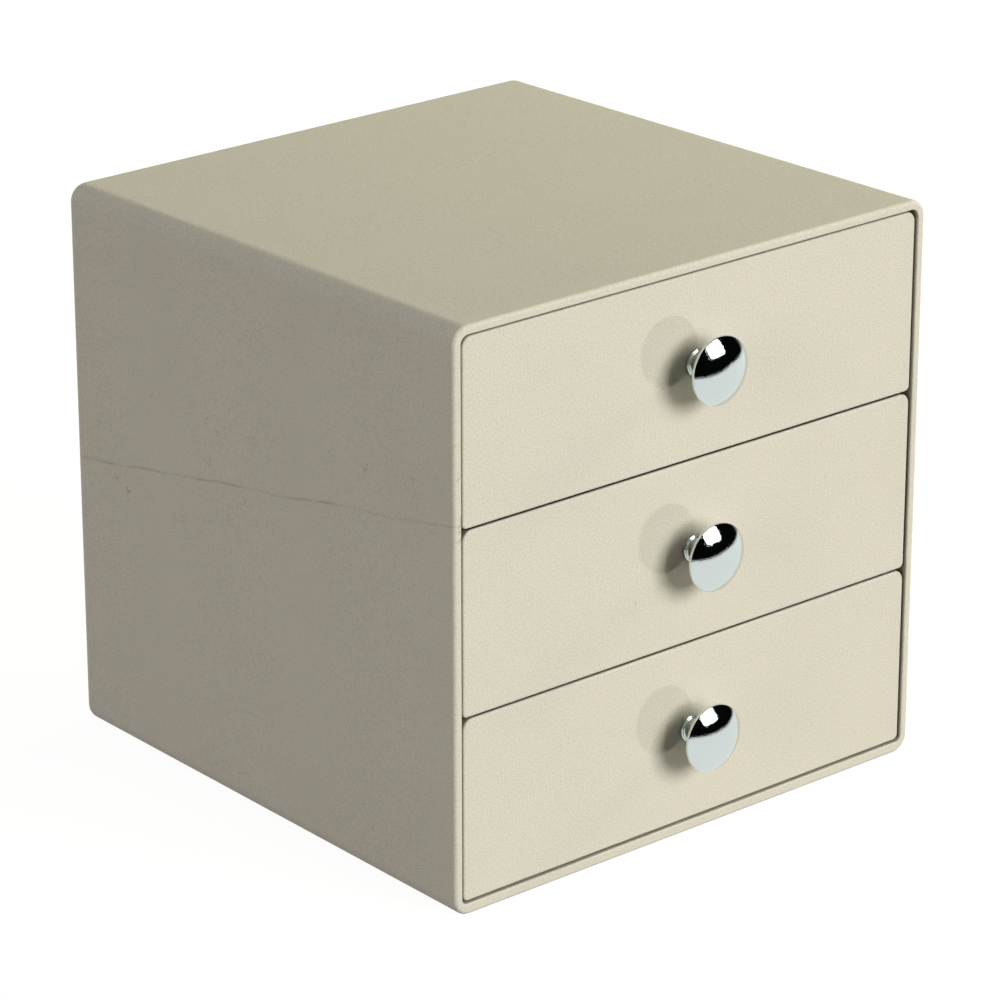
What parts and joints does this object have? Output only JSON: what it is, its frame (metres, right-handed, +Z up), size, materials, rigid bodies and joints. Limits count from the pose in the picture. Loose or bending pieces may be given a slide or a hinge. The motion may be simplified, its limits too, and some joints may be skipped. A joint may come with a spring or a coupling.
{
  "type": "desktop drawer organizer",
  "caption": "Cube-shaped desktop organizer: an open-front moulded case with stacked pull-out drawers, each opened by a domed metal knob on a slim neck.",
  "frame": {"origin": "middle of the case's underside, on the surface that it stands on", "axes": "+Z up; -Y out of the open front, the way the drawers pull; +X to the right as seen from the front"},
  "size_m": [0.165, 0.1786, 0.162],
  "materials": {
    "case_plastic": "fine matt moulded surface, warm stone colour",
    "drawer_plastic": "fine matt moulded surface, warm stone colour",
    "knob_chrome": "bright polished chrome plate",
    "fastener_steel": "zinc-plated steel"
  },
  "bodies": {
    "case": {"case": "case_plastic"},
    "drawer_bottom": {"drawer_bottom": "drawer_plastic", "knob_bottom": "knob_chrome", "knob_screw_bottom": "fastener_steel", "knob_washer_bottom": "fastener_steel"},
    "drawer_middle": {"drawer_middle": "drawer_plastic", "knob_middle": "knob_chrome", "knob_screw_middle": "fastener_steel", "knob_washer_middle": "fastener_steel"},
    "drawer_top": {"drawer_top": "drawer_plastic", "knob_top": "knob_chrome", "knob_screw_top": "fastener_steel", "knob_washer_top": "fastener_steel"}
  },
  "joints": [
    {"name": "drawer_bottom_slide", "type": "slide", "parent": "case", "child": "drawer_bottom", "axis": [0, -1, 0], "range_m": [0, 0.12]},
    {"name": "drawer_middle_slide", "type": "slide", "parent": "case", "child": "drawer_middle", "axis": [0, -1, 0], "range_m": [0, 0.12]},
    {"name": "drawer_top_slide", "type": "slide", "parent": "case", "child": "drawer_top", "axis": [0, -1, 0], "range_m": [0, 0.12]}
  ]
}
